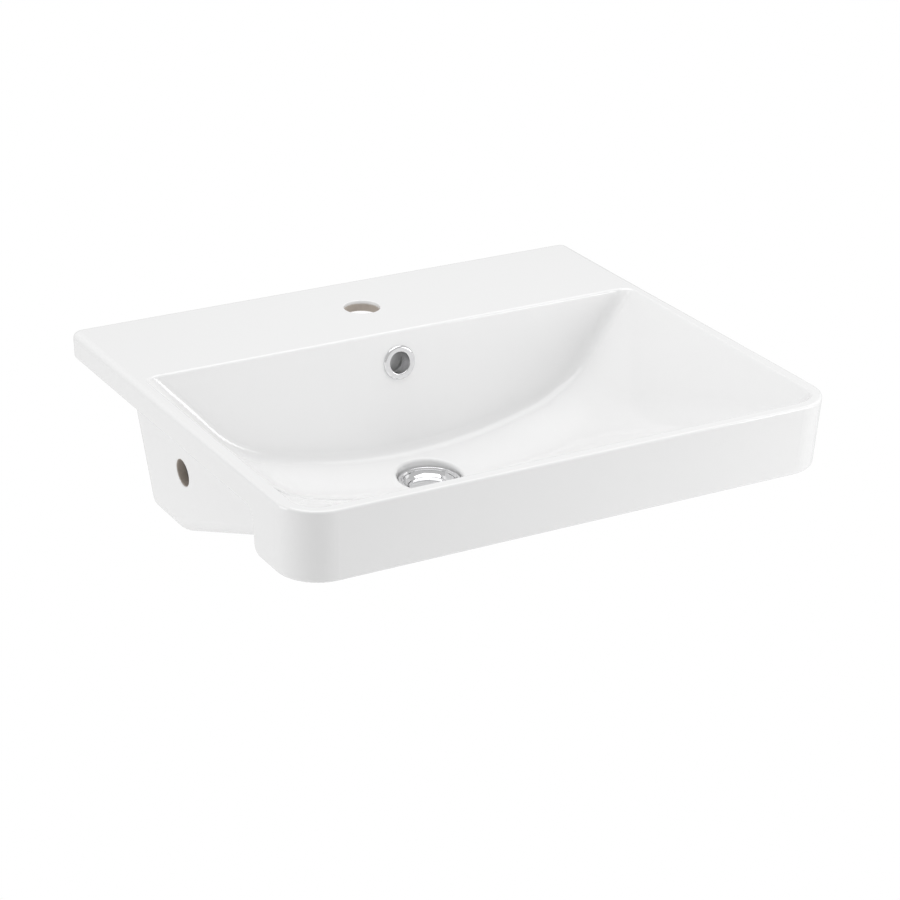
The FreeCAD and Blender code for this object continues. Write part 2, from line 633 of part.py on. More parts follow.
def basin_body():
    """The whole china casting."""
    body = rounded_skirt().cut(deck_pocket())
    body = body.fuse([rounded_box(), belly(), drain_boss(), channel_bulge()])
    body = body.cut(bowl_void()).Solids[0]
    body = body.makeFillet(BOWL_EDGE_ROUND, rim_edges(body))
    centre, axis = overflow_frame()
    into_channel = WALL + CHANNEL_INTO_DRAIN
    overflow = Part.makeCylinder(OVERFLOW_HOLE_R, 2 * into_channel, centre + axis * into_channel, axis * -1)
    tap = Part.makeCylinder(TAP_HOLE_R, 2 * RIM_Z, V(0, TAP_HOLE_Y, 0))
    channel = side_prism(channel_profile(0), CHANNEL_HALF_WIDTH)
    body = body.cut([hollow(), channel, overflow, tap, drain_tool()] + side_holes()).Solids[0]
    return softened_holes(body)


# ---------------------------------------------------------------- overflow ring
def overflow_ring():
    """Chromed ring with a rounded bezel and a short tube through the wall."""
    centre, axis = overflow_frame()
    foot = -WALL - RING_TUBE_PAST_WALL
    return revolved([
        (RING_BORE_R, RING_PROUD, RING_INNER_ROUND), (RING_R, RING_PROUD, RING_OUTER_ROUND), (RING_R, 0, 0),
        (RING_TUBE_R, 0, 0), (RING_TUBE_R, foot, 0), (RING_BORE_R, foot, 0)], centre, axis)


def overflow_grip():
    """Rubber sleeve that grips the china hole, with a bead behind the wall."""
    centre, axis = overflow_frame()
    inner = RING_TUBE_R + GRIP_GAP
    foot = -WALL - RING_TUBE_PAST_WALL
    bead_top = -WALL - GRIP_GAP
    bead_foot = bead_top - GRIP_BEAD_LENGTH
    bead_r = GRIP_R + GRIP_BEAD
    return revolved([
        (inner, -GRIP_GAP, 0), (GRIP_R, -GRIP_GAP, 0), (GRIP_R, bead_top, 0), (bead_r, bead_top, GRIP_BEAD_ROUND),
        (bead_r, bead_foot, GRIP_BEAD_ROUND), (GRIP_R, bead_foot, 0), (GRIP_R, foot, 0), (inner, foot, 0)],
        centre, axis)


# ---------------------------------------------------------------- waste
def waste_body():
    """Flange, dish, throat and threaded tail in one, slotted for the overflow, with a web for the cartridge."""
    dish_r = FLANGE_R - FLANGE_FLAT
    under_z = FLANGE_Z - FLANGE_EDGE
    neck_z = under_z - NECK_LENGTH
    throat_z = FLANGE_Z - DISH_DEPTH
    thread_z = TAIL_Z + TRAP_THREAD
    body = revolved([
        (FLANGE_R, FLANGE_Z, WASTE_ROUND), (FLANGE_R, under_z, 0), (SHOULDER_R, under_z, 0),
        (SHOULDER_R, under_z - SHOULDER, 0), (NECK_R, under_z - CONE_FOOT, 0), (NECK_R, neck_z, 0),
        (TUBE_R, neck_z, 0), (TUBE_R, thread_z, 0), (THREAD_R, thread_z, 0), (THREAD_R, TAIL_Z, WASTE_ROUND),
        (TUBE_BORE_R, TAIL_Z, 0), (TUBE_BORE_R, LEDGE_Z, LEDGE_ROUND), (THROAT_R, LEDGE_Z, LEDGE_ROUND),
        (THROAT_R, throat_z, WASTE_ROUND), (DISH_BEND_R, throat_z + DISH_BEND_RISE, DISH_BEND),
        (dish_r, FLANGE_Z, WASTE_ROUND)])
    hub = Part.makeCylinder(WEB_HUB_R, WEB_HEIGHT, DRAIN_AXIS + UP * WEB_Z)
    spokes = []
    for k in range(WEB_SPOKES):
        spoke = Part.makeBox(TUBE_BORE_R + WEB_SPOKE_ROOT, WEB_SPOKE_WIDTH, WEB_HEIGHT,
                             V(0, -WEB_SPOKE_WIDTH / 2, WEB_Z))
        spoke.rotate(V(0, 0, 0), UP, (k + 0.5) * 360 / WEB_SPOKES)
        spoke.translate(DRAIN_AXIS)
        spokes.append(spoke)
    stud_hole = Part.makeCylinder(STUD_R + THREAD_CLEARANCE, WEB_HEIGHT, DRAIN_AXIS + UP * WEB_Z)
    web = hub.fuse(spokes).cut(stud_hole)
    return body.cut(side_slot()).fuse(web).removeSplitter()


def side_slot():
    """Cuts the overflow slots with rounded corners through the front and the back of the waste's tube."""
    half, high = SLOT_WIDTH / 2, SEAT_Z - CHANNEL_OUTLET_TOP
    corners = [(-half, high - SLOT_HEIGHT, SLOT_CORNER), (half, high - SLOT_HEIGHT, SLOT_CORNER),
               (half, high, SLOT_CORNER), (-half, high, SLOT_CORNER)]
    face = Part.Face(outline(corners, lambda u, v: V(u, DRAIN_Y - 2 * TUBE_R, v)))
    return face.extrude(V(0, 4 * TUBE_R, 0))


def waste_gasket():
    """Rubber gasket between the flange and the china seat."""
    return tube(FLANGE_R, GASKET_INNER_R, SEAT_Z, SEAT_Z + GASKET_THICKNESS)


def outlet_washer():
    """Thick rubber washer under the basin, its nose centred in the drain hole."""
    inner = THREAD_R + THREAD_CLEARANCE
    nose_z = DRAIN_BOSS_Z + WASHER_NOSE
    nose_r = DRAIN_HOLE_R - WASHER_NOSE_GAP
    return revolved([
        (inner, WASHER_Z, 0), (WASHER_R, WASHER_Z, WASHER_ROUND), (WASHER_R, DRAIN_BOSS_Z, WASHER_ROUND),
        (nose_r, DRAIN_BOSS_Z, 0), (nose_r - WASHER_NOSE_TAPER, nose_z, 0), (inner, nose_z, 0)])


def slip_washer():
    """Thin hard washer that lets the nut turn without dragging the rubber."""
    return tube(SLIP_WASHER_R, THREAD_R + THREAD_CLEARANCE, SLIP_WASHER_Z, WASHER_Z)


def back_nut():
    """Flanged back nut with lugs for a basin spanner."""
    foot = SLIP_WASHER_Z - NUT_HEIGHT
    inner = TUBE_R + THREAD_CLEARANCE
    body = revolved([
        (inner, SLIP_WASHER_Z, 0), (NUT_FLANGE_R, SLIP_WASHER_Z, NUT_ROUND),
        (NUT_FLANGE_R, SLIP_WASHER_Z - NUT_FLANGE, NUT_ROUND), (NUT_BODY_R, SLIP_WASHER_Z - NUT_FLANGE, 0),
        (NUT_BODY_R, foot, NUT_ROUND), (inner, foot, NUT_ROUND)])
    lug_length = NUT_LUG_R - NUT_BODY_R + NUT_LUG_ROOT
    lug_height = NUT_HEIGHT - NUT_ROUND - NUT_FLANGE / 2
    lugs = []
    for k in range(NUT_LUGS):
        lug = Part.makeBox(lug_length, NUT_LUG_WIDTH, lug_height,
                           V(NUT_BODY_R - NUT_LUG_ROOT, -NUT_LUG_WIDTH / 2, foot + NUT_ROUND))
        lug.rotate(V(0, 0, 0), UP, 360 * k / NUT_LUGS)
        lug.translate(DRAIN_AXIS)
        lugs.append(lug)
    return body.fuse(lugs).removeSplitter()


# ---------------------------------------------------------------- plug
def plug_cap():
    """Low domed plug with a hub for the stem and a shoulder inside the seal."""
    crown_r = (PLUG_R ** 2 + PLUG_CROWN ** 2) / (2 * PLUG_CROWN)
    top_z = PLUG_Z + PLUG_CROWN
    disc = Part.makeCylinder(PLUG_R, PLUG_CROWN + PLUG_EDGE, DRAIN_AXIS + UP * PLUG_UNDER_Z)
    disc = disc.common(Part.makeSphere(crown_r, DRAIN_AXIS + UP * (top_z - crown_r)))
    rim = edges_where(disc, lambda p: abs(math.hypot(p.x, p.y - DRAIN_Y) - PLUG_R) < 0.01 and p.z > PLUG_Z - 0.01)
    disc = disc.makeFillet(PLUG_EDGE_ROUND, rim)
    shoulder = Part.makeCylinder(SEAL_INNER_R, SEAL_THICKNESS, DRAIN_AXIS + UP * (PLUG_UNDER_Z - SEAL_THICKNESS))
    hub = Part.makeCylinder(PLUG_HUB_R, PLUG_HUB, DRAIN_AXIS + UP * HUB_Z)
    stem_hole = Part.makeCylinder(STEM_R, STEM_GRIP, DRAIN_AXIS + UP * HUB_Z)
    return disc.fuse([shoulder, hub]).removeSplitter().cut(stem_hole)


def plug_seal():
    """Rubber ring under the plug's edge."""
    return tube(SEAL_OUTER_R, SEAL_INNER_R, PLUG_UNDER_Z - SEAL_THICKNESS, PLUG_UNDER_Z)


def plug_stem():
    """Stem screwed into the plug, necked at its foot to carry the rotor on a snap head."""
    neck_top = ROTOR_TOP_Z + RUNNING_GAP
    neck_foot = ROTOR_FOOT_Z - RUNNING_GAP
    return revolved([
        (0, HUB_Z + STEM_GRIP, 0), (STEM_R, HUB_Z + STEM_GRIP, STEM_TIP_ROUND), (STEM_R, neck_top, 0),
        (STEM_NECK_R, neck_top, 0), (STEM_NECK_R, neck_foot, 0), (STEM_R, neck_foot, 0),
        (STEM_NECK_R, neck_foot - STEM_HEAD, 0), (0, neck_foot - STEM_HEAD, 0)])


def stem_locknut():
    """Hexagonal nut that locks the plug's height on the stem."""
    foot = HUB_Z - LOCKNUT_HEIGHT
    hole = Part.makeCylinder(STEM_R + THREAD_CLEARANCE, LOCKNUT_HEIGHT, DRAIN_AXIS + UP * foot)
    return hexagon(LOCKNUT_FLATS, foot, HUB_Z).cut(hole)


# ---------------------------------------------------------------- click cartridge
def cartridge_housing():
    """Barrel of the click cartridge, with a threaded stud through the waste's web."""
    stud_z = CARTRIDGE_FOOT_Z - STUD_LENGTH
    floor_top = CARTRIDGE_FOOT_Z + CARTRIDGE_FLOOR
    return revolved([
        (CARTRIDGE_BORE_R, CARTRIDGE_TOP_Z, 0), (CARTRIDGE_R, CARTRIDGE_TOP_Z, 0),
        (CARTRIDGE_R, CARTRIDGE_FOOT_Z, 0), (STUD_R, CARTRIDGE_FOOT_Z, 0), (STUD_R, stud_z, STUD_TIP_ROUND),
        (0, stud_z, 0), (0, floor_top, 0), (CARTRIDGE_BORE_R, floor_top, 0)])


def guide_bush():
    """Bush that closes the cartridge and guides the stem."""
    bore = STEM_R + RUNNING_GAP
    sleeve_r = CARTRIDGE_BORE_R - INNER_GAP
    head_z = CARTRIDGE_TOP_Z + GUIDE_HEAD
    return revolved([
        (bore, head_z, 0), (CARTRIDGE_R, head_z, GUIDE_HEAD_ROUND), (CARTRIDGE_R, CARTRIDGE_TOP_Z, 0),
        (sleeve_r, CARTRIDGE_TOP_Z, 0), (sleeve_r, CAM_TOP_Z, 0), (bore, CAM_TOP_Z, 0)])


def twisted_sector(radius, angle, low, high, reference_z, turn):
    """A sector of a disc that turns with the rotor's lead as it rises; it points at turn at reference_z."""
    lead = 360.0 / ROTOR_STEP * TRAVEL
    start = turn + (low - reference_z) * ROTOR_STEP / TRAVEL
    first, last = math.radians(start - angle / 2), math.radians(start + angle / 2)
    origin = V(0, 0, low)
    ends = [V(radius * math.cos(a), radius * math.sin(a), low) for a in (first, (first + last) / 2, last)]
    profile = Part.Wire([Part.LineSegment(origin, ends[0]).toShape(), Part.Arc(*ends).toShape(),
                         Part.LineSegment(ends[2], origin).toShape()])
    spine = Part.Wire([Part.LineSegment(origin, V(0, 0, high)).toShape()])
    helix = Part.makeHelix(lead, high - low, radius)
    helix.translate(origin)
    sweep = Part.BRepOffsetAPI.MakePipeShell(spine)
    sweep.setAuxiliarySpine(Part.Wire(helix.Edges), True, 0)
    sweep.add(profile)
    sweep.build()
    sweep.makeSolid()
    solid = Part.Solid(sweep.shape())
    solid.translate(DRAIN_AXIS)
    return solid


def cam_ring():
    """Fixed ring whose helical grooves turn the rotor as the stem rises."""
    ring = tube(CARTRIDGE_BORE_R - INNER_GAP, CAM_INNER_R, CAM_FOOT_Z, CAM_TOP_Z)
    grooves = [twisted_sector(RIB_R + GROOVE_CLEARANCE, RIB_ANGLE + 2 * RIB_CLEARANCE, CAM_FOOT_Z - 1,
                              CAM_TOP_Z + 1, ROTOR_TOP_Z, 360 * k / RIB_COUNT) for k in range(RIB_COUNT)]
    return ring.cut(grooves)


def latch_rotor():
    """Ribbed rotor on the stem's foot; the ribs ride in the cam ring's grooves."""
    core = Part.makeCylinder(ROTOR_R, ROTOR_HEIGHT, DRAIN_AXIS + UP * ROTOR_FOOT_Z)
    ribs = [twisted_sector(RIB_R, RIB_ANGLE, ROTOR_FOOT_Z, ROTOR_TOP_Z, ROTOR_TOP_Z, 360 * k / RIB_COUNT)
            for k in range(RIB_COUNT)]
    bore = Part.makeCylinder(STEM_NECK_R + RUNNING_GAP, ROTOR_HEIGHT, DRAIN_AXIS + UP * ROTOR_FOOT_Z)
    return core.fuse(ribs).cut(bore)


def plunger_spring():
    """Spring that lifts the stem once the latch lets go."""
    foot = CARTRIDGE_FOOT_Z + CARTRIDGE_FLOOR + SPRING_WIRE_R
    top = ROTOR_FOOT_Z - SEAT_GAP - SPRING_WIRE_R
    helix = Part.makeHelix((top - foot) / SPRING_TURNS, top - foot, SPRING_MEAN_R)
    circle = Part.makeCircle(SPRING_WIRE_R, V(SPRING_MEAN_R, 0, 0), V(0, 1, 0))
    spring = Part.Wire(helix.Edges).makePipeShell([Part.Wire([circle])], True, True)
    spring.translate(DRAIN_AXIS + UP * foot)
    return spring


def cartridge_nut():
    """Hexagonal nut that clamps the cartridge to the waste's web."""
    foot = WEB_Z - CARTRIDGE_NUT_HEIGHT
    hole = Part.makeCylinder(STUD_R + THREAD_CLEARANCE, CARTRIDGE_NUT_HEIGHT, DRAIN_AXIS + UP * foot)
    return hexagon(CARTRIDGE_NUT_FLATS, foot, WEB_Z).cut(hole)


# ---------------------------------------------------------------- pieces
PIECES = (basin_body, overflow_ring, overflow_grip, waste_body, waste_gasket, outlet_washer, slip_washer, back_nut,
          plug_cap, plug_seal, plug_stem, stem_locknut, cartridge_housing, guide_bush, cam_ring, latch_rotor,
          plunger_spring, cartridge_nut)


def main():
    """Writes one STEP file per piece, named after the function that makes it."""
    os.makedirs("parts", exist_ok=True)
    for piece in PIECES:
        shape = piece()
        solids = shape.Solids
        if len(solids) != 1 or not shape.isValid():
            raise RuntimeError(piece.__name__ + " is not one valid solid")
        solid = solids[0].translated(V(0, SEAT_SETBACK, 0))
        solid.exportStep("parts/" + piece.__name__ + ".step")
        print(piece.__name__, round(solid.Volume / 1000, 2), "ml")


if __name__ == "__main__":
    main()
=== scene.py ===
"""Semi recessed basin: finishes and studio, laid out as a Blender add-on and run as a script.

Metres. X runs to the user's right, Y to the wall, Z up; z = 0 is the worktop.
"""
import math

import bpy
from bpy.props import FloatProperty, FloatVectorProperty, PointerProperty, StringProperty
from mathutils import Matrix, Vector


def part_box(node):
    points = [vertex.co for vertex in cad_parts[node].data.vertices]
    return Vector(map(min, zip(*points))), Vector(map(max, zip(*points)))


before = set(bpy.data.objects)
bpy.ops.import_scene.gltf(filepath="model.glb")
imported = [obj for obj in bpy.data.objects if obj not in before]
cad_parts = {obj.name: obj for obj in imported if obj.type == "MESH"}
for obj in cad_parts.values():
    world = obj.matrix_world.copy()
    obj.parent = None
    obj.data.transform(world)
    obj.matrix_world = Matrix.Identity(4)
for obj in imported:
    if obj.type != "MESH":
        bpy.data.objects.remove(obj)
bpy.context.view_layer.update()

bl_info = {
    "name": "Semi recessed basin",
    "version": (1, 0, 0),
    "blender": (4, 5, 0),
    "location": "View3D > Sidebar > Basin",
    "description": "Finishes and studio for a semi recessed basin",
    "category": "Object",
}

MM = 0.001


# ---------------------------------------------------------------- sizes taken from the frame
def middle_of(node):
    """Middle of a node's box."""
    low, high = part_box(node)
    return (low + high) / 2


DRAIN = middle_of("waste_body")
FLANGE_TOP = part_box("waste_body")[1].z
TAIL_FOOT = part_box("waste_body")[0].z
BOSS_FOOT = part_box("basin_body")[0].z
RIM_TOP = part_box("basin_body")[1].z
WALL_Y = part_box("basin_body")[1].y
TAP_Y = WALL_Y - 71 * MM        # axis of the tap hole
TAP_HOLE_R = 17.5 * MM
SIDE_HOLE = Vector((0, WALL_Y - 223 * MM, -34 * MM))    # on the axis that both side holes share
SIDE_HOLE_R = 12.5 * MM
DRAIN_HOLE_R = 23 * MM
BOX_WALL_X = 250 * MM           # the side holes' walls lie outside this

# where the glaze gives way to bare clay
CLAY_EDGE = 0.1 * MM            # clay is bare this near to a hole's wall or to the boss's foot
GLAZE_EDGE = 0.7 * MM           # glaze is whole this far from the wall of the tap and side holes
DRAIN_GLAZE_EDGE = 0.6 * MM     # and this far from the wall of the drain hole
FOOT_GLAZE_EDGE = 0.9 * MM      # and this far above the boss's foot
TAP_GLAZE_DEPTH = 1.6 * MM      # glaze runs over the tap hole's lip to this depth
TAP_CLAY_DEPTH = 4.0 * MM       # and is gone at this one
RAGGED_CELL = 4 * MM            # size and reach of the waves in the line between them
RAGGED_REACH = 1.2 * MM


# ---------------------------------------------------------------- settings
class BasinFinishSettings(bpy.types.PropertyGroup):
    """Colours a user would change, as sRGB hex."""
    glaze: StringProperty(name="Glaze", description="White glaze over the china", default="#F6F6F6")
    clay: StringProperty(name="Bare clay", description="Fired body where the glaze was wiped off",
                         default="#BFB5AB")
    chrome: StringProperty(name="Chrome", description="Chrome plate on brass", default="#E6E6E7")
    brass: StringProperty(name="Brass", description="Turned brass, unplated", default="#C9A45C")
    rubber: StringProperty(name="Rubber", description="Moulded rubber", default="#1E1E1F")
    acetal: StringProperty(name="Acetal", description="Moulded white plastic", default="#E9E8E2")
    steel: StringProperty(name="Spring wire", description="Drawn stainless wire", default="#B4B6B8")


class BasinStageSettings(bpy.types.PropertyGroup):
    """Camera and lamps."""
    azimuth: FloatProperty(name="Azimuth", description="Camera's turn from square on to the front",
                           default=math.radians(30.43), subtype="ANGLE")
    elevation: FloatProperty(name="Elevation", description="Camera's height above level",
                             default=math.radians(23.92), subtype="ANGLE")
    roll: FloatProperty(name="Roll", description="Camera's tilt about its own axis",
                        default=math.radians(1.35), subtype="ANGLE")
    distance: FloatProperty(name="Distance", description="Camera to target", default=2.46716, unit="LENGTH")
    target: FloatVectorProperty(name="Target",
                                description="Middle of the picture, from the middle of the rear edge",
                                default=(-0.06026, -0.34854, -0.003), subtype="XYZ")
    lens: FloatProperty(name="Lens", description="Focal length on a 36 mm sensor", default=111.5)
    world: FloatProperty(name="World", description="Strength of the surrounding light", default=0.59)
    overhead: FloatProperty(name="Overhead lamp", description="Power of the broad soft lamp above",
                            default=16.0)
    left: FloatProperty(name="Left lamp", description="Power of the soft lamp on the left", default=7.0)
    right: FloatProperty(name="Right lamp", description="Power of the small lamp at the front right",
                         default=3.2)


# ---------------------------------------------------------------- material helpers
def linear(code):
    """sRGB hex to linear RGBA."""
    channels = [int(code[k:k + 2], 16) / 255 for k in (1, 3, 5)]
    return tuple(c / 12.92 if c <= 0.04045 else ((c + 0.055) / 1.055) ** 2.4 for c in channels) + (1.0,)


def add(tree, kind, links=None, **settings):
    """Adds a node; settings are its own properties or its inputs' values, links its inputs' sources."""
    node = tree.nodes.new(kind)
    for name, value in settings.items():
        if hasattr(node, name):
            setattr(node, name, value)
        else:
            node.inputs[name.replace("_", " ")].default_value = value
    for socket, source in (links or {}).items():
        tree.links.new(source, node.inputs[socket])
    return node


def new_material(name):
    """An empty node material, with its tree and the place of each point on the object."""
    material = bpy.data.materials.new(name)
    material.use_nodes = True
    tree = material.node_tree
    tree.nodes.clear()
    return tree, add(tree, "ShaderNodeTexCoord").outputs["Object"]


def calculate(tree, operation, *terms):
    """One step of arithmetic on numbers or sockets."""
    node = add(tree, "ShaderNodeMath", operation=operation)
    for slot, term in zip(node.inputs, terms):
        if isinstance(term, bpy.types.NodeSocket):
            tree.links.new(term, slot)
        else:
            slot.default_value = term
    return node.outputs[0]


def distance_from(tree, place, point, direction):
    """Distance of each point of a surface from a straight line."""
    offset = add(tree, "ShaderNodeVectorMath", {0: place}, operation="SUBTRACT")
    offset.inputs[1].default_value = point
    across = add(tree, "ShaderNodeVectorMath", {0: offset.outputs[0]}, operation="CROSS_PRODUCT")
    across.inputs[1].default_value = direction
    return add(tree, "ShaderNodeVectorMath", {0: across.outputs[0]}, operation="LENGTH").outputs["Value"]


def finish(name, *nodes):
    """Gives CAD nodes a material by name."""
    for node in nodes:
        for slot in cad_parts[node].material_slots:
            slot.material = bpy.data.materials[name]


def surface_node(tree, colour, rough, bump_height=None, bump=0.0, **settings):
    """Principled surface with a height bump of the given depth in metres; rough is a number or a socket."""
    links = {}
    if isinstance(rough, bpy.types.NodeSocket):
        links["Roughness"] = rough
    else:
        settings["Roughness"] = rough
    if isinstance(colour, bpy.types.NodeSocket):
        links["Base Color"] = colour
    else:
        settings["Base_Color"] = linear(colour)
    if bump_height is not None:
        relief = add(tree, "ShaderNodeBump", {"Height": bump_height}, Distance=bump, Strength=1.0)
        links["Normal"] = relief.outputs[0]
    return add(tree, "ShaderNodeBsdfPrincipled", links, **settings).outputs["BSDF"]


def output(tree, surface):
    """Ends a material."""
    add(tree, "ShaderNodeOutputMaterial", {"Surface": surface})


def noise(tree, place, cell, detail=2.0):
    """Noise whose cells are that many metres across, 0 to 1."""
    return add(tree, "ShaderNodeTexNoise", {"Vector": place}, Scale=1 / cell, Detail=detail).outputs[0]


def between(tree, value, low, high):
    """Runs from 0 at low to 1 at high."""
    return add(tree, "ShaderNodeMapRange", {"Value": value}, From_Min=low, From_Max=high,
               interpolation_type="SMOOTHSTEP").outputs[0]


# ---------------------------------------------------------------- materials
def make_china(colours):
    """Sprayed opaque glaze fired on slip-cast clay: deep gloss, slow waviness, bare clay where wiped."""
    tree, place = new_material("glazed_slip_cast_vitreous_china")
    # glaze pools and thins over a few centimetres, which bends reflections without showing as texture
    waviness = noise(tree, place, 28 * MM, 1.0)
    glaze = surface_node(tree, colours.glaze, 0.05, waviness, 0.05 * MM, IOR=1.52, Coat_Weight=0.3,
                         Coat_Roughness=0.03)
    grain = noise(tree, place, 0.6 * MM, 4.0)
    clay = surface_node(tree, colours.clay, 0.85, grain, 0.03 * MM, IOR=1.5)
    mask = bare_clay_mask(tree, place)
    output(tree, add(tree, "ShaderNodeMixShader", {0: mask, 1: glaze, 2: clay}).outputs[0])


def bare_clay_mask(tree, place):
    """1 on the walls of the tap, side and drain holes and on the outlet boss's foot, 0 where glazed."""
    height = add(tree, "ShaderNodeSeparateXYZ", {0: place})
    ragged = calculate(tree, "MULTIPLY", noise(tree, place, RAGGED_CELL), RAGGED_REACH)
    reach = calculate(tree, "ABSOLUTE", height.outputs["X"])
    tap = distance_from(tree, place, (0, TAP_Y, 0), (0, 0, 1))
    side = distance_from(tree, place, SIDE_HOLE, (1, 0, 0))
    drain = distance_from(tree, place, (DRAIN.x, DRAIN.y, 0), (0, 0, 1))
    in_tap = calculate(tree, "MULTIPLY",
                       between(tree, tap, TAP_HOLE_R + GLAZE_EDGE, TAP_HOLE_R + CLAY_EDGE),
                       between(tree, calculate(tree, "ADD", height.outputs["Z"], ragged),
                               RIM_TOP - TAP_GLAZE_DEPTH, RIM_TOP - TAP_CLAY_DEPTH))
    in_side = calculate(tree, "MULTIPLY",
                        between(tree, side, SIDE_HOLE_R + GLAZE_EDGE, SIDE_HOLE_R + CLAY_EDGE),
                        calculate(tree, "GREATER_THAN", reach, BOX_WALL_X))
    in_drain = calculate(tree, "MULTIPLY",
                         between(tree, drain, DRAIN_HOLE_R + DRAIN_GLAZE_EDGE, DRAIN_HOLE_R + CLAY_EDGE),
                         calculate(tree, "LESS_THAN", height.outputs["Z"], FLANGE_TOP))
    foot = between(tree, calculate(tree, "SUBTRACT", height.outputs["Z"], ragged),
                   BOSS_FOOT + FOOT_GLAZE_EDGE, BOSS_FOOT + CLAY_EDGE)
    mask = calculate(tree, "MAXIMUM", in_tap, in_side)
    mask = calculate(tree, "MAXIMUM", mask, in_drain)
    return calculate(tree, "MAXIMUM", mask, foot)


def make_chrome(colours):
    """Polished brass under bright chrome plate: near-mirror with faint polishing haze."""
    tree, place = new_material("bright_chrome_plate_on_polished_brass")
    haze = calculate(tree, "MULTIPLY_ADD", noise(tree, place, 9 * MM, 3.0), 0.05, 0.03)
    ripple = noise(tree, place, 14 * MM, 1.0)
    output(tree, surface_node(tree, colours.chrome, haze, ripple, 0.01 * MM, Metallic=1.0))


def make_brass(colours):
    """Brass left as it came off the lathe: fine rings round the axis stretch highlights across them."""
    tree, place = new_material("lathe_turned_brass")
    rings = distance_from(tree, place, (DRAIN.x, DRAIN.y, 0), (0, 0, 1))
    height = add(tree, "ShaderNodeSeparateXYZ", {0: place})
    feed = calculate(tree, "ADD", rings, height.outputs["Z"])
    lines = calculate(tree, "SINE", calculate(tree, "MULTIPLY", feed, 2 * math.pi / (0.12 * MM)))
    tarnish = calculate(tree, "MULTIPLY_ADD", noise(tree, place, 6 * MM, 3.0), 0.16, 0.22)
    output(tree, surface_node(tree, colours.brass, tarnish, lines, 0.002 * MM, Metallic=1.0))


def make_rubber(colours):
    """Rubber pressed in an etched mould: matt, with a fine even grain."""
    tree, place = new_material("moulded_matt_rubber")
    grain = noise(tree, place, 0.25 * MM)
    output(tree, surface_node(tree, colours.rubber, 0.62, grain, 0.02 * MM, IOR=1.52))


def make_acetal(colours):
    """Injection-moulded acetal: waxy white that lets a little light in."""
    tree, place = new_material("injection_moulded_acetal")
    grain = noise(tree, place, 0.5 * MM)
    output(tree, surface_node(tree, colours.acetal, 0.34, grain, 0.008 * MM, IOR=1.48,
                              Subsurface_Weight=0.2, Subsurface_Scale=1.5 * MM))


def make_steel(colours):
    """Stainless wire drawn through a die: bright, with a fine drag grain."""
    tree, place = new_material("die_drawn_stainless_wire")
    grain = noise(tree, place, 0.15 * MM, 3.0)
    output(tree, surface_node(tree, colours.steel, 0.22, grain, 0.004 * MM, Metallic=1.0))


# ---------------------------------------------------------------- operators for the pieces
class BASIN_OT_materials(bpy.types.Operator):
    """Every material, named for what it is and how its surface was made"""
    bl_idname = "basin.materials"
    bl_label = "Materials"

    def execute(self, context):
        for make in (make_china, make_chrome, make_brass, make_rubber, make_acetal, make_steel):
            make(context.scene.basin_finish)
        return {"FINISHED"}


class BASIN_OT_casting(bpy.types.Operator):
    """China casting with its glaze and bare clay"""
    bl_idname = "basin.casting"
    bl_label = "China casting"

    def execute(self, context):
        finish("glazed_slip_cast_vitreous_china", "basin_body")
        return {"FINISHED"}


class BASIN_OT_overflow(bpy.types.Operator):
    """Overflow ring and the sleeve that grips its hole"""
    bl_idname = "basin.overflow"
    bl_label = "Overflow"

    def execute(self, context):
        finish("bright_chrome_plate_on_polished_brass", "overflow_ring")
        finish("moulded_matt_rubber", "overflow_grip")
        return {"FINISHED"}


class BASIN_OT_waste(bpy.types.Operator):
    """Waste with its flange, dish and tail, and the gasket under the flange"""
    bl_idname = "basin.waste"
    bl_label = "Waste"

    def execute(self, context):
        finish("bright_chrome_plate_on_polished_brass", "waste_body")
        finish("moulded_matt_rubber", "waste_gasket")
        return {"FINISHED"}


class BASIN_OT_fixings(bpy.types.Operator):
    """Washers and back nut under the basin"""
    bl_idname = "basin.fixings"
    bl_label = "Fixings"

    def execute(self, context):
        finish("moulded_matt_rubber", "outlet_washer")
        finish("injection_moulded_acetal", "slip_washer")
        finish("lathe_turned_brass", "back_nut")
        return {"FINISHED"}


class BASIN_OT_plug(bpy.types.Operator):
    """Domed plug with its seal, stem and locknut"""
    bl_idname = "basin.plug"
    bl_label = "Plug"

    def execute(self, context):
        finish("bright_chrome_plate_on_polished_brass", "plug_cap")
        finish("moulded_matt_rubber", "plug_seal")
        finish("lathe_turned_brass", "plug_stem", "stem_locknut")
        return {"FINISHED"}


class BASIN_OT_cartridge(bpy.types.Operator):
    """Click cartridge with its cam ring, rotor, spring and clamping nut"""
    bl_idname = "basin.cartridge"
    bl_label = "Click cartridge"

    def execute(self, context):
        finish("lathe_turned_brass", "cartridge_housing", "guide_bush", "cartridge_nut")
        finish("injection_moulded_acetal", "cam_ring", "latch_rotor")
        finish("die_drawn_stainless_wire", "plunger_spring")
        return {"FINISHED"}


# ---------------------------------------------------------------- stage
FLOOR_COLOUR = "#F4F4F4"
FLOOR_HALF = 6.0                # half the floor's width
FLOOR_DROP = 0.35               # from the tail's foot down to the floor
LAMP_AIM = Vector((0, -0.25, -0.05))
SENSOR_WIDTH = 36               # millimetres

# each lamp's name, place, width and the setting that holds its power
LAMPS = (("overhead_lamp", (0.1, -0.15, 1.7), 1.8, "overhead"),
         ("left_lamp", (-1.9, 0.3, 0.05), 0.8, "left"),
         ("right_lamp", (0.85, -1.05, 0.15), 0.5, "right"))


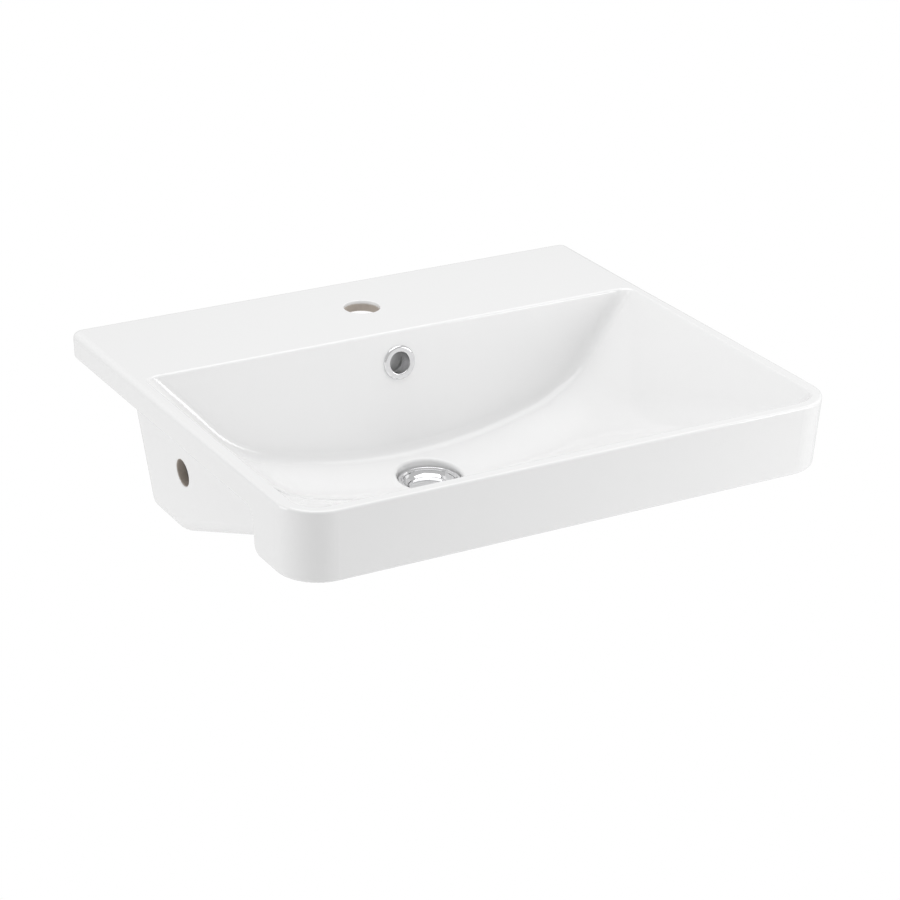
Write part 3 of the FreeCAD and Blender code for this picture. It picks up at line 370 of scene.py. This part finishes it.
class BASIN_OT_stage(bpy.types.Operator):
    """Floor, surrounding light, lamps and camera"""
    bl_idname = "basin.stage"
    bl_label = "Stage"

    def execute(self, context):
        settings = context.scene.basin_stage
        make_floor(context)
        make_world(context.scene, settings)
        for name, place, size, setting in LAMPS:
            add_lamp(context, name, Vector(place), size, getattr(settings, setting))
        add_camera(context, settings)
        context.scene.view_settings.view_transform = "Standard"
        return {"FINISHED"}


def make_floor(context):
    """A white floor well below the tail: it lights the basin from below and is left out of every view."""
    half, z = FLOOR_HALF, TAIL_FOOT - FLOOR_DROP
    corners = [(-half, -half, z), (half, -half, z), (half, half, z), (-half, half, z)]
    mesh = bpy.data.meshes.new("floor")
    mesh.from_pydata(corners, [], [(0, 1, 2, 3)])
    floor = bpy.data.objects.new("floor", mesh)
    context.scene.collection.objects.link(floor)
    floor.visible_camera = False
    tree = new_material("white_painted_floor")[0]
    output(tree, add(tree, "ShaderNodeBsdfDiffuse", Color=linear(FLOOR_COLOUR)).outputs[0])
    mesh.materials.append(bpy.data.materials["white_painted_floor"])


def make_world(scene, settings):
    """Even white surroundings, seen as plain white behind the object."""
    world = bpy.data.worlds.new("studio")
    world.use_nodes = True
    tree = world.node_tree
    tree.nodes.clear()
    path = add(tree, "ShaderNodeLightPath")
    strength = calculate(tree, "MULTIPLY_ADD", path.outputs["Is Camera Ray"],
                         1 - settings.world, settings.world)
    background = add(tree, "ShaderNodeBackground", {"Strength": strength}, Color=(1, 1, 1, 1))
    add(tree, "ShaderNodeOutputWorld", {"Surface": background.outputs[0]})
    scene.world = world


def add_lamp(context, name, place, size, power):
    """A square soft lamp aimed at the basin."""
    lamp = bpy.data.lights.new(name, "AREA")
    lamp.size = size
    lamp.energy = power
    obj = bpy.data.objects.new(name, lamp)
    obj.location = place
    obj.rotation_euler = (LAMP_AIM - place).to_track_quat("-Z", "Y").to_euler()
    context.scene.collection.objects.link(obj)


def add_camera(context, settings):
    """Camera at the photograph's angle."""
    camera = bpy.data.cameras.new("photo_camera")
    camera.lens = settings.lens
    camera.sensor_width = SENSOR_WIDTH
    obj = bpy.data.objects.new("photo_camera", camera)
    turn = (Matrix.Rotation(-settings.azimuth, 4, "Z")
            @ Matrix.Rotation(math.pi / 2 - settings.elevation, 4, "X")
            @ Matrix.Rotation(settings.roll, 4, "Z"))
    back = turn.to_3x3() @ Vector((0, 0, settings.distance))
    target = Vector(settings.target) + Vector((0, WALL_Y, 0))
    obj.matrix_world = Matrix.Translation(target + back) @ turn
    context.scene.collection.objects.link(obj)
    context.scene.camera = obj


# ---------------------------------------------------------------- panel and registration
class BASIN_PT_panel(bpy.types.Panel):
    """Sidebar panel with every piece and the stage"""
    bl_idname = "BASIN_PT_panel"
    bl_label = "Basin"
    bl_space_type = "VIEW_3D"
    bl_region_type = "UI"
    bl_category = "Basin"

    def draw(self, context):
        for operator in OPERATORS:
            self.layout.operator(operator.bl_idname)


OPERATORS = (BASIN_OT_materials, BASIN_OT_casting, BASIN_OT_overflow, BASIN_OT_waste, BASIN_OT_fixings,
             BASIN_OT_plug, BASIN_OT_cartridge, BASIN_OT_stage)
CLASSES = (BasinFinishSettings, BasinStageSettings) + OPERATORS + (BASIN_PT_panel,)


def register():
    for cls in CLASSES:
        bpy.utils.register_class(cls)
    bpy.types.Scene.basin_finish = PointerProperty(type=BasinFinishSettings)
    bpy.types.Scene.basin_stage = PointerProperty(type=BasinStageSettings)


def unregister():
    del bpy.types.Scene.basin_stage
    del bpy.types.Scene.basin_finish
    for cls in reversed(CLASSES):
        bpy.utils.unregister_class(cls)


def main():
    register()
    for operator in OPERATORS:
        family, name = operator.bl_idname.split(".")
        getattr(getattr(bpy.ops, family), name)()


if __name__ == "__main__":
    main()
